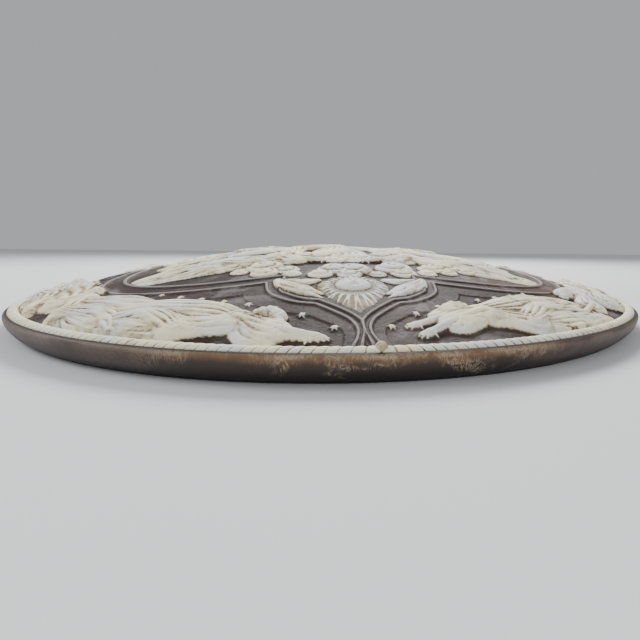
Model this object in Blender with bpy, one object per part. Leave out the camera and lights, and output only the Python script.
"""Round wall plaque in cast stone with a felt back, lying face up.

The disc is domed. A rope runs round its edge, and inside it a border of reclining draped
figures and stars is parted by four cusped cartouches, each with a radiate sun face. A lobed
moulding frames the crowded medallion of figures and clouds in the middle.

Metres, +Z out of the carved face, +Y towards the top of the plaque as it hangs.
The origin is the middle of the felt, where the plaque lies against the wall.
"""

import math

import bmesh
import bpy
import numpy as np

QUARTER_TURN = math.pi / 2.0

# Driving dimensions of the disc

PLAQUE_DIAMETER = 0.400
EDGE_HEIGHT = 0.0103
BACK_DIAMETER = 0.3900
DOME_RISE = 0.0300
ROPE_WIDTH = 0.0048
ROPE_RISE = 0.0017
LEDGE_WIDTH = 0.0003
EDGE_ROUNDING = 0.0018

# Driving dimensions of the felt

FELT_DIAMETER = 0.3860
FELT_THICKNESS = 0.0012
TOUCHING_GAP = 0.0003

# Driving dimensions of the carving

BORDER_WIDTH = 0.0311
FRAME_WAVE = 0.0380
FRAME_SPACING = 0.0105
MOULDING_WIDTH = 0.0026
MOULDING_RISE = 0.0012
LINE_WIDTH = 0.0018
STEP_WIDTH = 0.0110
STEP_RISE = 0.0007
CARTOUCHE_HALF_WIDTH = 0.0416
CARTOUCHE_LENGTH = 0.0660
CARTOUCHE_RISE = 0.0013
SUN_FACE_RADIUS = 0.0088
SUN_FACE_RISE = 0.0042
SUN_PLACE = 0.84
RAY_COUNT = 28
RAY_RISE = 0.0016
BEAD_LENGTH = 0.0052
BEAD_RISE = 0.0016
BEAD_SHIFT = math.radians(1.2)
BORDER_FIGURE_HEIGHT = 0.090
MEDALLION_FIGURE_HEIGHT = 0.098
CENTRE_FIGURE_HEIGHT = 0.124
FIGURE_RELIEF = 0.0056
CLOUD_RADIUS = 0.0090
CLOUD_RELIEF = 0.0034
FIGURE_STANDOFF = 0.0075
STAR_RADIUS = 0.0030
STAR_RISE = 0.0010
STAR_SPACING = 0.013
STAR_ARC_HEIGHT = 0.036
STAR_ARC_LENGTH = 0.022
STAR_COUNT = 8

# How finely the carving is worked out and sampled, and how many triangles stay

FRAME_POINTS = 17
CARVING_RINGS = 112
KEPT_TRIANGLES = 9200
ROPE_STEPS = 6
CORNER_STEPS = 3
SIDE_STEPS = 4
FELT_SIDES = 96

# Places worked out from the sizes above

PLAQUE_RADIUS = PLAQUE_DIAMETER / 2.0
BACK_LEVEL = FELT_THICKNESS + TOUCHING_GAP
EDGE_LEVEL = BACK_LEVEL + EDGE_HEIGHT
ROPE_OUTSIDE = PLAQUE_RADIUS - EDGE_ROUNDING - LEDGE_WIDTH
ROPE_MIDDLE = ROPE_OUTSIDE - ROPE_WIDTH / 2.0
BORDER_EDGE = ROPE_OUTSIDE - ROPE_WIDTH
FRAME_OUTSIDE = BORDER_EDGE - BORDER_WIDTH
BORDER_MIDDLE = BORDER_EDGE - BORDER_WIDTH / 2.0
MEDALLION_RADIUS = FRAME_OUTSIDE - FRAME_WAVE - FRAME_SPACING

# Points of a star, how near the middle the notches between them come, and how high its edge is
STAR_POINTS = 6
STAR_WAIST = 0.34
STAR_EDGE = 0.55

# Rays of a sun, in shares of its face's radius: where they start, how far short ones reach,
# how much further the ones towards the rope reach, how much the ends are staggered, and the
# half widths from root to tip. The long ones fan out by an angle in radians
RAY_ROOT = 0.8
RAY_SHORT = 1.9
RAY_EXTRA = 1.3
RAY_STAGGER = 0.2
RAY_HALF_WIDTHS = (0.14, 0.05)
RAY_FAN = 0.55

# Heights in shares of a ray's rise: the ray from root to tip, the halo behind it, and the apron
# of the halo that points to the rope
RAY_HEIGHTS = (1.6, 0.7)
HALO_HEIGHT = 0.9
APRON_HEIGHTS = (0.9, 0.8, 0.5)
APRON_HALF_WIDTHS = (1.7, 1.2, 0.3)

# Rolled clouds in a lobe of a cartouche: places in shares of its half width and length, then
# half width and rise in shares of the sun's face
LOBE_CLOUDS = (
    (((0.38, 0.98), (0.58, 0.92), (0.80, 0.98)), 0.42, 0.55),
    (((0.84, 0.93), (0.73, 0.82), (0.54, 0.73), (0.36, 0.69)), 0.62, 0.80),
    (((0.80, 0.86), (0.68, 0.76), (0.50, 0.68), (0.34, 0.62)), 0.34, 0.55),
)

# Shares of that width and of that rise from one end of a rolled cloud to the other
LOBE_TAPER = (0.5, 1.0, 1.0, 0.25)
LOBE_SWELL = (0.7, 1.0, 1.0, 0.5)

# The outer and the inner line of a cartouche, from the rope inwards: a neck and a lobe that meet
# in a cusp, in shares of the half width and length, the angle where the line joins the frame, and
# how far inside the frame's outer line it joins
CARTOUCHE_LINES = (
    (((0.12, 0.00), (0.070, 0.08), (0.055, 0.18), (0.11, 0.29), (0.24, 0.39), (0.41, 0.50)),
     ((0.41, 0.50), (0.60, 0.525), (0.78, 0.59), (0.91, 0.69)), math.radians(17), 0.0),
    (((0.05, 0.00), (0.012, 0.12), (0.00, 0.24), (0.05, 0.33), (0.17, 0.43), (0.37, 0.56)),
     ((0.37, 0.56), (0.54, 0.585), (0.69, 0.65), (0.80, 0.75)), math.radians(15), FRAME_SPACING),
)

# The flat step widens from the rope to the frame
STEP_TAPER = (0.35, 0.55, 0.80, 1.00)

# The share to which lying figures are flattened towards the rope
LYING_SHARE = 0.75

# Shares of a figure's own height, and the share of the torso or forearm where a form ends
HEAD_SIZE = 0.066
NECK_LENGTH = 0.050
TORSO_LENGTH = 0.29
WAIST_SHARE = 0.42
SHOULDER_SHARE = 0.84
UPPER_ARM = 0.17
FOREARM = 0.15
SLEEVE_SHARE = 0.35
HAND = 0.090
THIGH = 0.26
SHIN = 0.26
FOOT = 0.07

# How high far and near limbs stand, in shares of the relief
FAR_LIMB = 0.67
NEAR_LIMB = 0.93

# Each form of a figure: half widths from one end to the other in shares of its height, how high
# it stands in shares of the relief, and for cloth its folds, their depth and their slant
FORMS = {
    "cloak": ((0.05, 0.11, 0.14, 0.12, 0.04), (0.45, 0.68, 0.66, 0.52, 0.25), 2.0, 0.28, -0.5),
    "gown": ((0.095, 0.150, 0.165), (0.62, 0.55, 0.34), 2.5, 0.28, 0.0),
    "leg": ((0.090, 0.074, 0.052), (1.0, 0.95, 0.60), 1.0, 0.15, 1.0),
    "foot": ((0.030, 0.018), (0.62, 0.38), 0.0, 0.0, 0.0),
    "body": ((0.098, 0.078, 0.098, 0.046), (0.85, 0.80, 0.94, 0.72), 1.0, 0.10, 1.0),
    "sleeve": ((0.072, 0.094, 0.050), (1.0, 0.94, 0.70), 1.0, 0.15, 0.0),
    "arm": ((0.042, 0.030, 0.020), (1.0, 0.84, 0.62), 0.0, 0.0, 0.0),
    "palm": ((0.019, 0.025), (0.60, 0.54), 0.0, 0.0, 0.0),
    "finger": ((0.0080, 0.0050), (0.58, 0.36), 0.0, 0.0, 0.0),
    "neck": ((0.036, 0.036), (0.78, 0.80), 0.0, 0.0, 0.0),
    "hair": ((0.067, 0.065), (0.92, 0.94), 2.0, 0.10, 0.0),
    "knot": ((0.032, 0.032), (0.73, 0.73), 0.0, 0.0, 0.0),
    "face": ((0.049, 0.030), (1.0, 0.92), 0.0, 0.0, 0.0),
}

# Fingers and thumb: turn from the forearm in degrees, and share of the hand's length
FINGERS = ((-19, 0.86), (-7, 1.0), (5, 1.04), (17, 0.92), (50, 0.60))

# A pose gives the direction of each limb in degrees, 0 along the ground and 90 up. The gown
# hangs in the direction of hem, and the cloak is a path in shares of the height from the hips
REACHING = {
    "torso": 156, "head": 146, "arm": (206, 196), "far_arm": (226, 184),
    "leg": (24, -34), "far_leg": (2, -14), "hem": -8,
    "cloak": ((-0.24, 0.14), (-0.06, 0.22), (0.20, 0.21), (0.50, 0.10), (0.62, 0.00)),
}
RECLINING = {
    "torso": 132, "head": 118, "arm": (222, 190), "far_arm": (16, 44),
    "leg": (16, -38), "far_leg": (0, -10), "hem": -4,
    "cloak": ((-0.26, 0.02), (-0.08, 0.17), (0.14, 0.23), (0.42, 0.18), (0.58, 0.04)),
}
LEANING = {
    "torso": 142, "head": 158, "arm": (200, 212), "far_arm": (176, 200),
    "leg": (36, -26), "far_leg": (8, -18), "hem": 4,
    "cloak": ((-0.20, 0.22), (0.04, 0.24), (0.26, 0.24), (0.50, 0.14), (0.60, 0.02)),
}
SEATED = {
    "torso": 92, "head": 90, "arm": (214, 140), "far_arm": (-24, 60),
    "leg": (208, 264), "far_leg": (-30, 272), "hem": 268,
    "cloak": ((-0.10, 0.27), (0.14, 0.24), (0.30, 0.04), (0.32, -0.20), (0.18, -0.42)),
}
KNEELING = {
    "torso": 66, "head": 48, "arm": (12, 46), "far_arm": (-28, 24),
    "leg": (-40, 222), "far_leg": (-74, 196), "hem": 236,
    "cloak": ((0.06, 0.30), (-0.14, 0.22), (-0.28, -0.02), (-0.34, -0.24), (-0.22, -0.36)),
}
FLOATING = {
    "torso": 18, "head": 34, "arm": (6, 26), "far_arm": (-46, -8),
    "leg": (188, 166), "far_leg": (206, 192), "hem": 188,
    "cloak": ((0.24, 0.12), (0.00, 0.20), (-0.26, 0.24), (-0.52, 0.16), (-0.66, 0.02)),
}

# The fan of rays behind the enthroned head: rays on each side of the middle one, the angle
# between two, its place up the medallion and its two radii in shares of the medallion's, and
# the share to which every second ray is shortened
GLORY_RAYS = 4
GLORY_ANGLE = math.radians(16)
GLORY_PLACE = 0.42
GLORY_INSIDE = 0.10
GLORY_OUTSIDE = 0.40
GLORY_SHORT = 0.84

# Who lies in the four parts of the border, from each cartouche to the next
BORDER_POSES = (
    (LEANING, RECLINING, REACHING), (REACHING, LEANING, LEANING),
    (LEANING, RECLINING, REACHING), (REACHING, RECLINING, REACHING),
)

# Where their hips lie, as a share of that part, and how tall they are
BORDER_PLACES = ((0.245, 1.0), (0.545, 0.92), (0.765, 0.98))

# Pairs of attendants in the medallion: pose, hips across and up in shares of its radius, share
# of the attendants' height, and whether they face outwards
ATTENDANTS = (
    (FLOATING, 0.58, 0.72, 0.84, -1),
    (KNEELING, 0.62, -0.08, 1.0, -1),
    (RECLINING, 0.48, -0.78, 0.90, 1),
)

# Banks of cloud in the medallion: share of its radius, middle and half width of the arc in
# degrees from the bottom, how many clouds, and their share of the size
CLOUD_BANKS = (
    (1.03, 0, 64, 19, 1.0), (0.72, 0, 34, 8, 1.0), (0.98, 180, 16, 4, 0.8),
    (0.90, 114, 12, 4, 0.8), (0.90, -114, 12, 4, 0.8),
)

# How cloud bosses vary along a bank, and its two rows: how far in, and their share of the size
CLOUD_SWELL = 0.22
CLOUD_RHYTHM = 2.4
CLOUD_SWAY = 1.7
CLOUD_ROWS = ((0.0, 0.72), (0.9, 1.0))


def clear_scene():
    """Remove whatever the scene holds."""
    for item in list(bpy.data.objects):
        bpy.data.objects.remove(item, do_unlink=True)


def make_material(name, colour, roughness):
    """Give a plain Principled material."""
    material = bpy.data.materials.new(name)
    material.use_nodes = True
    shader = material.node_tree.nodes["Principled BSDF"]
    shader.inputs["Base Color"].default_value = (*colour, 1.0)
    shader.inputs["Roughness"].default_value = roughness
    return material


class Field:
    """Many points of the plaque in plan, and how far the carving rises at each."""

    def __init__(self, x, y):
        self.x = x
        self.y = y
        self.rise = np.zeros(len(x))

    def near(self, path, reach):
        """Give the points inside the box round a path."""
        low = path.min(axis=0) - reach
        high = path.max(axis=0) + reach
        inside_x = (self.x > low[0]) & (self.x < high[0])
        inside_y = (self.y > low[1]) & (self.y < high[1])
        return np.nonzero(inside_x & inside_y)[0]

    def raise_to(self, index, height):
        """Keep the higher of the carving so far and the new height."""
        self.rise[index] = np.maximum(self.rise[index], height)


def smooth_path(points, parts=4):
    """Pass a smooth curve through a few points."""
    points = np.asarray(points, dtype=float)
    if len(points) < 3:
        return points
    before = 2.0 * points[0] - points[1]
    after = 2.0 * points[-1] - points[-2]
    padded = np.vstack([before, points, after])
    curve = []
    for i in range(len(points) - 1):
        p0, p1, p2, p3 = padded[i:i + 4]
        for step in range(parts):
            t = step / parts
            curve.append(0.5 * (2.0 * p1 + (p2 - p0) * t + (2.0 * p0 - 5.0 * p1 + 4.0 * p2 - p3) * t ** 2
                                + (3.0 * p1 - p0 - 3.0 * p2 + p3) * t ** 3))
    curve.append(points[-1])
    return np.array(curve)


def spread(values, count):
    """Stretch a few values evenly over a number of points."""
    return np.interp(np.linspace(0.0, 1.0, count), np.linspace(0.0, 1.0, len(values)), values)


def trace(field, path, halves):
    """Give the points near a path: how far across it they lie, on which side, and how far along."""
    index = field.near(path, halves.max())
    x = field.x[index]
    y = field.y[index]
    nearest = np.full(len(index), math.inf)
    signed = np.zeros(len(index))
    place = np.zeros(len(index))
    for i in range(len(path) - 1):
        step = path[i + 1] - path[i]
        off_x = x - path[i][0]
        off_y = y - path[i][1]
        along = np.clip((off_x * step[0] + off_y * step[1]) / (step @ step), 0.0, 1.0)
        side = off_y * step[0] - off_x * step[1]
        distance = np.hypot(off_x - along * step[0], off_y - along * step[1])
        across = distance / (halves[i] + (halves[i + 1] - halves[i]) * along)
        closer = across < nearest
        nearest = np.where(closer, across, nearest)
        signed = np.where(closer, np.sign(side) * across, signed)
        place = np.where(closer, i + along, place)
    return index, nearest, signed, place


def stroke(field, points, half_widths, rises, folds=0.0, depth=0.0, slant=0.0, flat=False):
    """Raise a tapering ridge along a path: rounded, or flat on top, or cut by long folds."""
    path = smooth_path(points)
    index, nearest, signed, place = trace(field, path, spread(half_widths, len(path)))
    total = len(path) - 1
    height = np.interp(place, np.arange(total + 1), spread(rises, len(path)))
    if flat:
        section = np.where(nearest < 1.0, 1.0, 0.0)
    else:
        section = np.sqrt(np.clip(1.0 - nearest ** 2, 0.0, 1.0))
    if folds:
        share = place / total
        swing = 0.25 * np.sin(4.0 * share)
        ridges = np.abs(np.cos(math.pi * (folds * (signed + swing) + slant * share)))
        section = section * (1.0 - depth * (1.0 - ridges))
    field.raise_to(index, height * section)


def around(field, centre, radius):
    """Give the points round a centre, with their distance in shares of the radius and their angle."""
    index = field.near(np.array([centre]), radius)
    off_x = field.x[index] - centre[0]
    off_y = field.y[index] - centre[1]
    return index, np.hypot(off_x, off_y) / radius, np.arctan2(off_y, off_x)


def mound(field, centre, radius, rise):
    """Raise a round boss."""
    index, distance, angle = around(field, centre, radius)
    field.raise_to(index, rise * np.sqrt(np.clip(1.0 - distance ** 2, 0.0, 1.0)))


def star(field, centre, radius, rise, turn=0.0):
    """Raise a star with straight tapering points that slope down from the middle."""
    index, distance, angle = around(field, centre, radius)
    sector = 2.0 * math.pi / STAR_POINTS
    off = np.abs((angle - turn + sector / 2.0) % sector - sector / 2.0)
    slope = (1.0 - STAR_WAIST * math.cos(sector / 2.0)) / math.sin(sector / 2.0)
    edge = STAR_WAIST / (STAR_WAIST * np.cos(off) + np.sin(off) * slope)
    height = np.where(distance < edge, 1.0 - (1.0 - STAR_EDGE) * distance / edge, 0.0)
    field.raise_to(index, rise * height)


def polar(radius, angle):
    """Give the plan point at a radius and an angle counted from the bottom of the plaque."""
    return (radius * math.sin(angle), -radius * math.cos(angle))


def border_place(angle, side, hip_along, hip_up):
    """Give a map from a border figure's own plane to the plaque: along the border, and inwards."""
    def place(along, up):
        turn = angle + side * (hip_along + along) / BORDER_MIDDLE
        return polar(BORDER_EDGE - hip_up - up * LYING_SHARE, turn)
    return place


def medallion_place(hip_x, hip_y, side):
    """Give a map from an upright figure's own plane to the medallion."""
    def place(along, up):
        return (hip_x + side * along, hip_y + up)
    return place


def onward(start, degrees, length):
    """Give the end of a limb that leaves a joint in a direction."""
    angle = math.radians(degrees)
    return (start[0] + length * math.cos(angle), start[1] + length * math.sin(angle))


class Figure:
    """A figure being carved: the field it rises from, the map to its place, and its height."""

    def __init__(self, field, place, size):
        self.field = field
        self.place = place
        self.size = size

    def carve(self, name, joints, share=1.0):
        """Raise one named form along joints that are given in shares of the height."""
        half_widths, relief, folds, depth, slant = FORMS[name]
        path = [self.place(along * self.size, up * self.size) for along, up in joints]
        halves = [width * self.size for width in half_widths]
        rises = [FIGURE_RELIEF * share * height for height in relief]
        stroke(self.field, path, halves, rises, folds, depth, slant)


def carve_leg(work, hip, directions, share):
    """Carve a thigh, a shin and a foot under the cloth."""
    thigh, shin = directions
    knee = onward(hip, thigh, THIGH)
    ankle = onward(knee, shin, SHIN)
    work.carve("leg", (hip, knee, ankle), share)
    work.carve("foot", (ankle, onward(ankle, shin + 30, FOOT)), share)


def carve_arm(work, shoulder, directions, share):
    """Carve a sleeve, an arm and a hand with its fingers."""
    upper, fore = directions
    elbow = onward(shoulder, upper, UPPER_ARM)
    wrist = onward(elbow, fore, FOREARM)
    work.carve("sleeve", (shoulder, elbow, onward(elbow, fore, FOREARM * SLEEVE_SHARE)), share)
    work.carve("arm", (shoulder, elbow, wrist), share)
    work.carve("palm", (wrist, onward(wrist, fore, HAND * 0.45)), share)
    for turn, length in FINGERS:
        knuckle = onward(wrist, fore + turn * 0.6, HAND * 0.4)
        work.carve("finger", (knuckle, onward(wrist, fore + turn, HAND * length)), share)


def carve_head(work, neck, direction):
    """Carve a neck, the hair with a knot at the back, and a plain rounded face."""
    head = onward(neck, direction, NECK_LENGTH + HEAD_SIZE * 0.5)
    knot = onward(head, direction + 75, HEAD_SIZE * 1.05)
    work.carve("neck", (neck, head))
    work.carve("hair", (head, onward(head, direction + 18, HEAD_SIZE * 0.42)))
    work.carve("knot", (knot, onward(knot, direction, HEAD_SIZE * 0.1)))
    brow = onward(head, direction - 42, HEAD_SIZE * 0.30)
    chin = onward(head, direction - 150, HEAD_SIZE * 0.62)
    work.carve("face", (brow, chin))


def carve_figure(field, place, size, pose):
    """Carve one draped figure from the back forwards."""
    work = Figure(field, place, size)
    hip = (0.0, 0.0)
    waist = onward(hip, pose["torso"], TORSO_LENGTH * WAIST_SHARE)
    chest = onward(hip, pose["torso"], TORSO_LENGTH * SHOULDER_SHARE)
    neck = onward(hip, pose["torso"], TORSO_LENGTH)
    drop = onward(hip, pose["hem"], THIGH)
    work.carve("cloak", pose["cloak"])
    work.carve("gown", (hip, drop, onward(drop, pose["hem"], SHIN)))
    carve_leg(work, hip, pose["far_leg"], FAR_LIMB)
    carve_leg(work, hip, pose["leg"], NEAR_LIMB)
    work.carve("body", (hip, waist, chest, neck))
    carve_arm(work, chest, pose["far_arm"], FAR_LIMB)
    carve_arm(work, chest, pose["arm"], NEAR_LIMB)
    carve_head(work, neck, pose["head"])


def frame_radius(angle, inset):
    """Give the lobed frame's radius: widest half-way between two cartouches."""
    middle = FRAME_OUTSIDE - FRAME_WAVE / 2.0
    return middle - FRAME_WAVE / 2.0 * math.cos(4.0 * angle) - inset


def carve_frame(field):
    """Carve the two lobed mouldings between the cartouches, and the flat step outside them."""
    for quarter in range(4):
        for neck, lobe, corner, inset in CARTOUCHE_LINES:
            turns = np.linspace(corner, QUARTER_TURN - corner, FRAME_POINTS) + quarter * QUARTER_TURN
            path = [polar(frame_radius(turn, inset), turn) for turn in turns]
            if not inset:
                stroke(field, path, (STEP_WIDTH,) * 2, (STEP_RISE,) * 2, flat=True)
            stroke(field, path, (MOULDING_WIDTH / 2.0,) * 2, (MOULDING_RISE + STEP_RISE,) * 2)


def cartouche_place(angle, side):
    """Give a map from shares across and along a cartouche's half to the plaque."""
    def place(across, length):
        radius = BORDER_EDGE - CARTOUCHE_LENGTH * length
        return polar(radius, angle + side * across * CARTOUCHE_HALF_WIDTH / radius)
    return place


def cartouche_line(angle, side, neck, lobe, corner, inset):
    """Give one line of a half cartouche in plan: its neck, and its lobe out to the frame."""
    place = cartouche_place(angle, side)
    meeting = polar(frame_radius(corner, inset), angle + side * corner)
    return [place(*point) for point in neck], [place(*point) for point in lobe] + [meeting]


def carve_sun(field, angle):
    """Carve a radiate face: a halo, long rays towards the rope, short ones elsewhere, and the face."""
    size = SUN_FACE_RADIUS
    centre = np.array(polar(BORDER_EDGE - CARTOUCHE_LENGTH * SUN_PLACE, angle))
    out = centre / np.hypot(*centre)
    outward = math.atan2(out[1], out[0])
    apron = [centre, centre + out * size * RAY_SHORT, centre + out * size * (RAY_SHORT + RAY_EXTRA)]
    mound(field, centre, size * RAY_SHORT, RAY_RISE * HALO_HEIGHT)
    stroke(field, apron, [size * share for share in APRON_HALF_WIDTHS],
           [RAY_RISE * share for share in APRON_HEIGHTS])
    for k in range(RAY_COUNT):
        off = 2.0 * math.pi * (k + 0.5) / RAY_COUNT - math.pi
        reach = size * (RAY_SHORT + RAY_EXTRA * math.exp(-(off / RAY_FAN) ** 2) - RAY_STAGGER * (k % 3))
        direction = np.array([math.cos(outward + off), math.sin(outward + off)])
        path = [centre + direction * size * RAY_ROOT, centre + direction * reach]
        stroke(field, path, [size * share for share in RAY_HALF_WIDTHS],
               [RAY_RISE * share for share in RAY_HEIGHTS])
    mound(field, centre, size, SUN_FACE_RISE)


def carve_lobe(field, place):
    """Carve the rolled clouds that fill one lobe of a cartouche."""
    for path, width, rise in LOBE_CLOUDS:
        joints = [place(across, length) for across, length in path]
        stroke(field, joints, [SUN_FACE_RADIUS * width * share for share in LOBE_TAPER],
               [SUN_FACE_RISE * rise * share for share in LOBE_SWELL])


def carve_cartouche(field, angle):
    """Carve a cusped cartouche: the step, the two lines that run on into the frame, and the sun."""
    line_rise = CARTOUCHE_RISE + STEP_RISE
    for side in (-1, 1):
        neck, lobe = cartouche_line(angle, side, *CARTOUCHE_LINES[0])
        stroke(field, neck, [STEP_WIDTH * share for share in STEP_TAPER[:3]], (STEP_RISE,) * 2, flat=True)
        stroke(field, lobe, [STEP_WIDTH * share for share in STEP_TAPER[2:]], (STEP_RISE,) * 2, flat=True)
    for side in (-1, 1):
        for line in CARTOUCHE_LINES:
            for part in cartouche_line(angle, side, *line):
                stroke(field, part, (LINE_WIDTH / 2.0,) * 2, (line_rise,) * 2)
        carve_lobe(field, cartouche_place(angle, side))
    carve_sun(field, angle)


def carve_stars(field, angle, side):
    """Scatter stars in an arc that climbs from the rope to the step above the figures."""
    for k in range(STAR_COUNT):
        along = STAR_SPACING * (k + 0.8)
        up = STAR_ARC_HEIGHT * (1.0 - math.exp(-along / STAR_ARC_LENGTH))
        turn = angle + side * along / BORDER_MIDDLE
        star(field, polar(BORDER_EDGE - up, turn), STAR_RADIUS, STAR_RISE + STEP_RISE, turn)


def carve_compartment(field, angle, poses):
    """Carve the three figures and the stars between the cartouche at this angle and the next."""
    span = QUARTER_TURN * BORDER_MIDDLE
    for k, pose in enumerate(poses):
        share, height = BORDER_PLACES[k]
        last = k == len(poses) - 1
        side = -1 if last else 1
        start = angle + QUARTER_TURN if last else angle
        along = span * (1.0 - share if last else share)
        place = border_place(start, side, along, FIGURE_STANDOFF)
        carve_figure(field, place, BORDER_FIGURE_HEIGHT * height, pose)
    carve_stars(field, angle, 1)
    carve_stars(field, angle + QUARTER_TURN, -1)


def carve_clouds(field, radius, first, last, count, size):
    """Carve a bank of cloud bosses in two overlapping rows along an arc of the medallion."""
    for k in range(count):
        turn = math.radians(first + (last - first) * k / (count - 1))
        swell = 1.0 + CLOUD_SWELL * math.sin(CLOUD_RHYTHM * k)
        for row, share in CLOUD_ROWS:
            inset = size * row
            boss = polar(radius - inset * swell, turn + inset * math.sin(CLOUD_SWAY * k) / radius)
            mound(field, boss, size * swell * share, CLOUD_RELIEF * swell * share)


def carve_glory(field, centre, inside, outside):
    """Carve the fan of straight rays that stands behind the enthroned figure's head."""
    for k in range(-GLORY_RAYS, GLORY_RAYS + 1):
        angle = QUARTER_TURN + k * GLORY_ANGLE
        direction = np.array([math.cos(angle), math.sin(angle)])
        tip = outside * (1.0 if k % 2 else GLORY_SHORT)
        stroke(field, [centre + direction * inside, centre + direction * tip],
               (MOULDING_WIDTH * 0.7, MOULDING_WIDTH * 0.25), (RAY_RISE, RAY_RISE * 0.6))


def carve_medallion(field):
    """Carve the medallion: cloud banks, six attendants in three pairs, and one enthroned figure."""
    ring = MEDALLION_RADIUS
    for radius, middle, half, count, size in CLOUD_BANKS:
        carve_clouds(field, ring * radius, middle - half, middle + half, count, CLOUD_RADIUS * size)
    carve_glory(field, np.array([0.0, ring * GLORY_PLACE]), ring * GLORY_INSIDE, ring * GLORY_OUTSIDE)
    for side in (-1, 1):
        for pose, across, up, height, facing in ATTENDANTS:
            place = medallion_place(side * ring * across, ring * up, side * facing)
            carve_figure(field, place, MEDALLION_FIGURE_HEIGHT * height, pose)
    carve_figure(field, medallion_place(0.0, 0.0, 1), CENTRE_FIGURE_HEIGHT, SEATED)


def carving_rise(x, y):
    """Give the rise of the whole carving above the dome at plan points."""
    field = Field(x, y)
    carve_frame(field)
    for quarter in range(4):
        carve_cartouche(field, quarter * QUARTER_TURN)
    for quarter, poses in enumerate(BORDER_POSES):
        carve_compartment(field, quarter * QUARTER_TURN, poses)
    carve_medallion(field)
    return field.rise


def dome_level(radius):
    """Give the height of the bare dome, which meets the plain edge inside the rope."""
    return EDGE_LEVEL + DOME_RISE * (1.0 - (radius / BORDER_EDGE) ** 2)


def edge_profile():
    """Give radius and height round the section of the edge: rope, ledge, side and back corner."""
    profile = []
    for step in range(1, ROPE_STEPS):
        angle = math.pi * step / ROPE_STEPS
        radius = ROPE_MIDDLE - ROPE_WIDTH / 2.0 * math.cos(angle)
        profile.append((radius, EDGE_LEVEL + ROPE_RISE * math.sin(angle)))
    profile.append((ROPE_OUTSIDE, EDGE_LEVEL))
    shoulder = PLAQUE_RADIUS - EDGE_ROUNDING
    for step in range(CORNER_STEPS + 1):
        angle = QUARTER_TURN * step / CORNER_STEPS
        drop = EDGE_ROUNDING * (1.0 - math.cos(angle))
        profile.append((shoulder + EDGE_ROUNDING * math.sin(angle), EDGE_LEVEL - drop))
    side_height = EDGE_HEIGHT - EDGE_ROUNDING
    for step in range(1, SIDE_STEPS + 1):
        share = step / SIDE_STEPS
        taper = (PLAQUE_RADIUS - BACK_DIAMETER / 2.0) * share ** 2
        profile.append((PLAQUE_RADIUS - taper, BACK_LEVEL + side_height * (1.0 - share)))
    return profile


def bead_rise(x, y):
    """Give the rise of the four beads that sit on the rope, each a little beside a cartouche's middle."""
    rise = np.zeros(len(x))
    for quarter in range(4):
        bead_x, bead_y = polar(ROPE_MIDDLE, quarter * QUARTER_TURN + BEAD_SHIFT)
        distance = np.hypot(x - bead_x, y - bead_y) / (BEAD_LENGTH / 2.0)
        rise = np.maximum(rise, BEAD_RISE * np.sqrt(np.clip(1.0 - distance ** 2, 0.0, 1.0)))
    return rise


def disc_rings():
    """Give the plan radius and point count of each ring of the carved disc, centre first."""
    return [(BORDER_EDGE * ring / CARVING_RINGS, 6 * ring) for ring in range(1, CARVING_RINGS + 1)]


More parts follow.
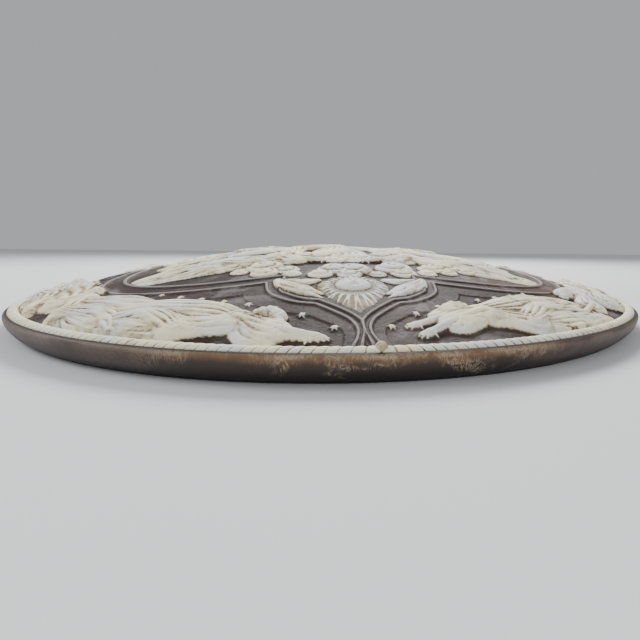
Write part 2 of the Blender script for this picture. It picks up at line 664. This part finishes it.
def make_plaque():
    """Model the cast disc: sampled rings of carving, the turned edge and a flat back."""
    points = [(0.0, 0.0)]
    for radius, count in disc_rings():
        points += [polar(radius, 2.0 * math.pi * k / count) for k in range(count)]
    plan = np.array(points)
    heights = dome_level(np.hypot(plan[:, 0], plan[:, 1])) + carving_rise(plan[:, 0], plan[:, 1])
    outer_start = len(plan) - 6 * CARVING_RINGS
    heights[outer_start:] = EDGE_LEVEL

    mesh = bmesh.new()
    vertices = [mesh.verts.new((x, y, z)) for (x, y), z in zip(plan, heights)]
    for ring in range(CARVING_RINGS):
        inside = 1 + 3 * ring * (ring - 1) if ring else 0
        outside = 1 + 3 * ring * (ring + 1)
        join_hexagon_rings(mesh, vertices, inside, ring, outside)

    count = 6 * CARVING_RINGS
    previous = vertices[outer_start:]
    for radius, height in edge_profile():
        ring_plan = np.array([polar(radius, 2.0 * math.pi * k / count) for k in range(count)])
        beads = bead_rise(ring_plan[:, 0], ring_plan[:, 1]) if radius < ROPE_OUTSIDE else np.zeros(count)
        ring = [mesh.verts.new((x, y, height + up)) for (x, y), up in zip(ring_plan, beads)]
        for k in range(count):
            after = (k + 1) % count
            mesh.faces.new((previous[k], ring[k], ring[after], previous[after]))
        previous = ring
    middle = mesh.verts.new((0.0, 0.0, BACK_LEVEL))
    for k in range(count):
        mesh.faces.new((previous[k], middle, previous[(k + 1) % count]))
    bmesh.ops.triangulate(mesh, faces=[face for face in mesh.faces if len(face.verts) > 3])
    bmesh.ops.recalc_face_normals(mesh, faces=mesh.faces)
    plaque = finish_object(mesh, "plaque", make_material("cast_stone", (0.46, 0.41, 0.35), 0.55))
    thinning = plaque.modifiers.new("keep_triangles_where_carving_turns", "DECIMATE")
    thinning.ratio = KEPT_TRIANGLES / len(plaque.data.polygons)
    return plaque


def join_hexagon_rings(mesh, vertices, inside, ring, outside):
    """Fill the band of triangles between ring number ring and the next, six wedges at a time."""
    inner_count = 6 * ring
    outer_count = 6 * (ring + 1)
    for wedge in range(6):
        for k in range(ring + 1):
            outer_a = vertices[outside + (wedge * (ring + 1) + k) % outer_count]
            outer_b = vertices[outside + (wedge * (ring + 1) + k + 1) % outer_count]
            inner_a = vertices[inside + (wedge * ring + k) % inner_count] if ring else vertices[0]
            mesh.faces.new((inner_a, outer_a, outer_b))
            if k < ring:
                inner_b = vertices[inside + (wedge * ring + k + 1) % inner_count]
                mesh.faces.new((inner_a, outer_b, inner_b))


def make_felt():
    """Model the felt disc that faces the wall."""
    mesh = bmesh.new()
    bmesh.ops.create_cone(mesh, cap_ends=True, segments=FELT_SIDES, radius1=FELT_DIAMETER / 2.0,
                          radius2=FELT_DIAMETER / 2.0, depth=FELT_THICKNESS)
    bmesh.ops.translate(mesh, verts=mesh.verts, vec=(0.0, 0.0, FELT_THICKNESS / 2.0))
    return finish_object(mesh, "felt_backing", make_material("black_felt", (0.02, 0.02, 0.022), 0.95))


def finish_object(mesh, name, material):
    """Put a finished bmesh into the scene as a named object with its material."""
    data = bpy.data.meshes.new(name)
    mesh.to_mesh(data)
    mesh.free()
    data.materials.append(material)
    data.shade_smooth()
    data.set_sharp_from_angle(angle=math.radians(40.0))
    item = bpy.data.objects.new(name, data)
    bpy.context.scene.collection.objects.link(item)
    return item


def main():
    """Build the plaque and its felt."""
    clear_scene()
    make_plaque()
    make_felt()


main()
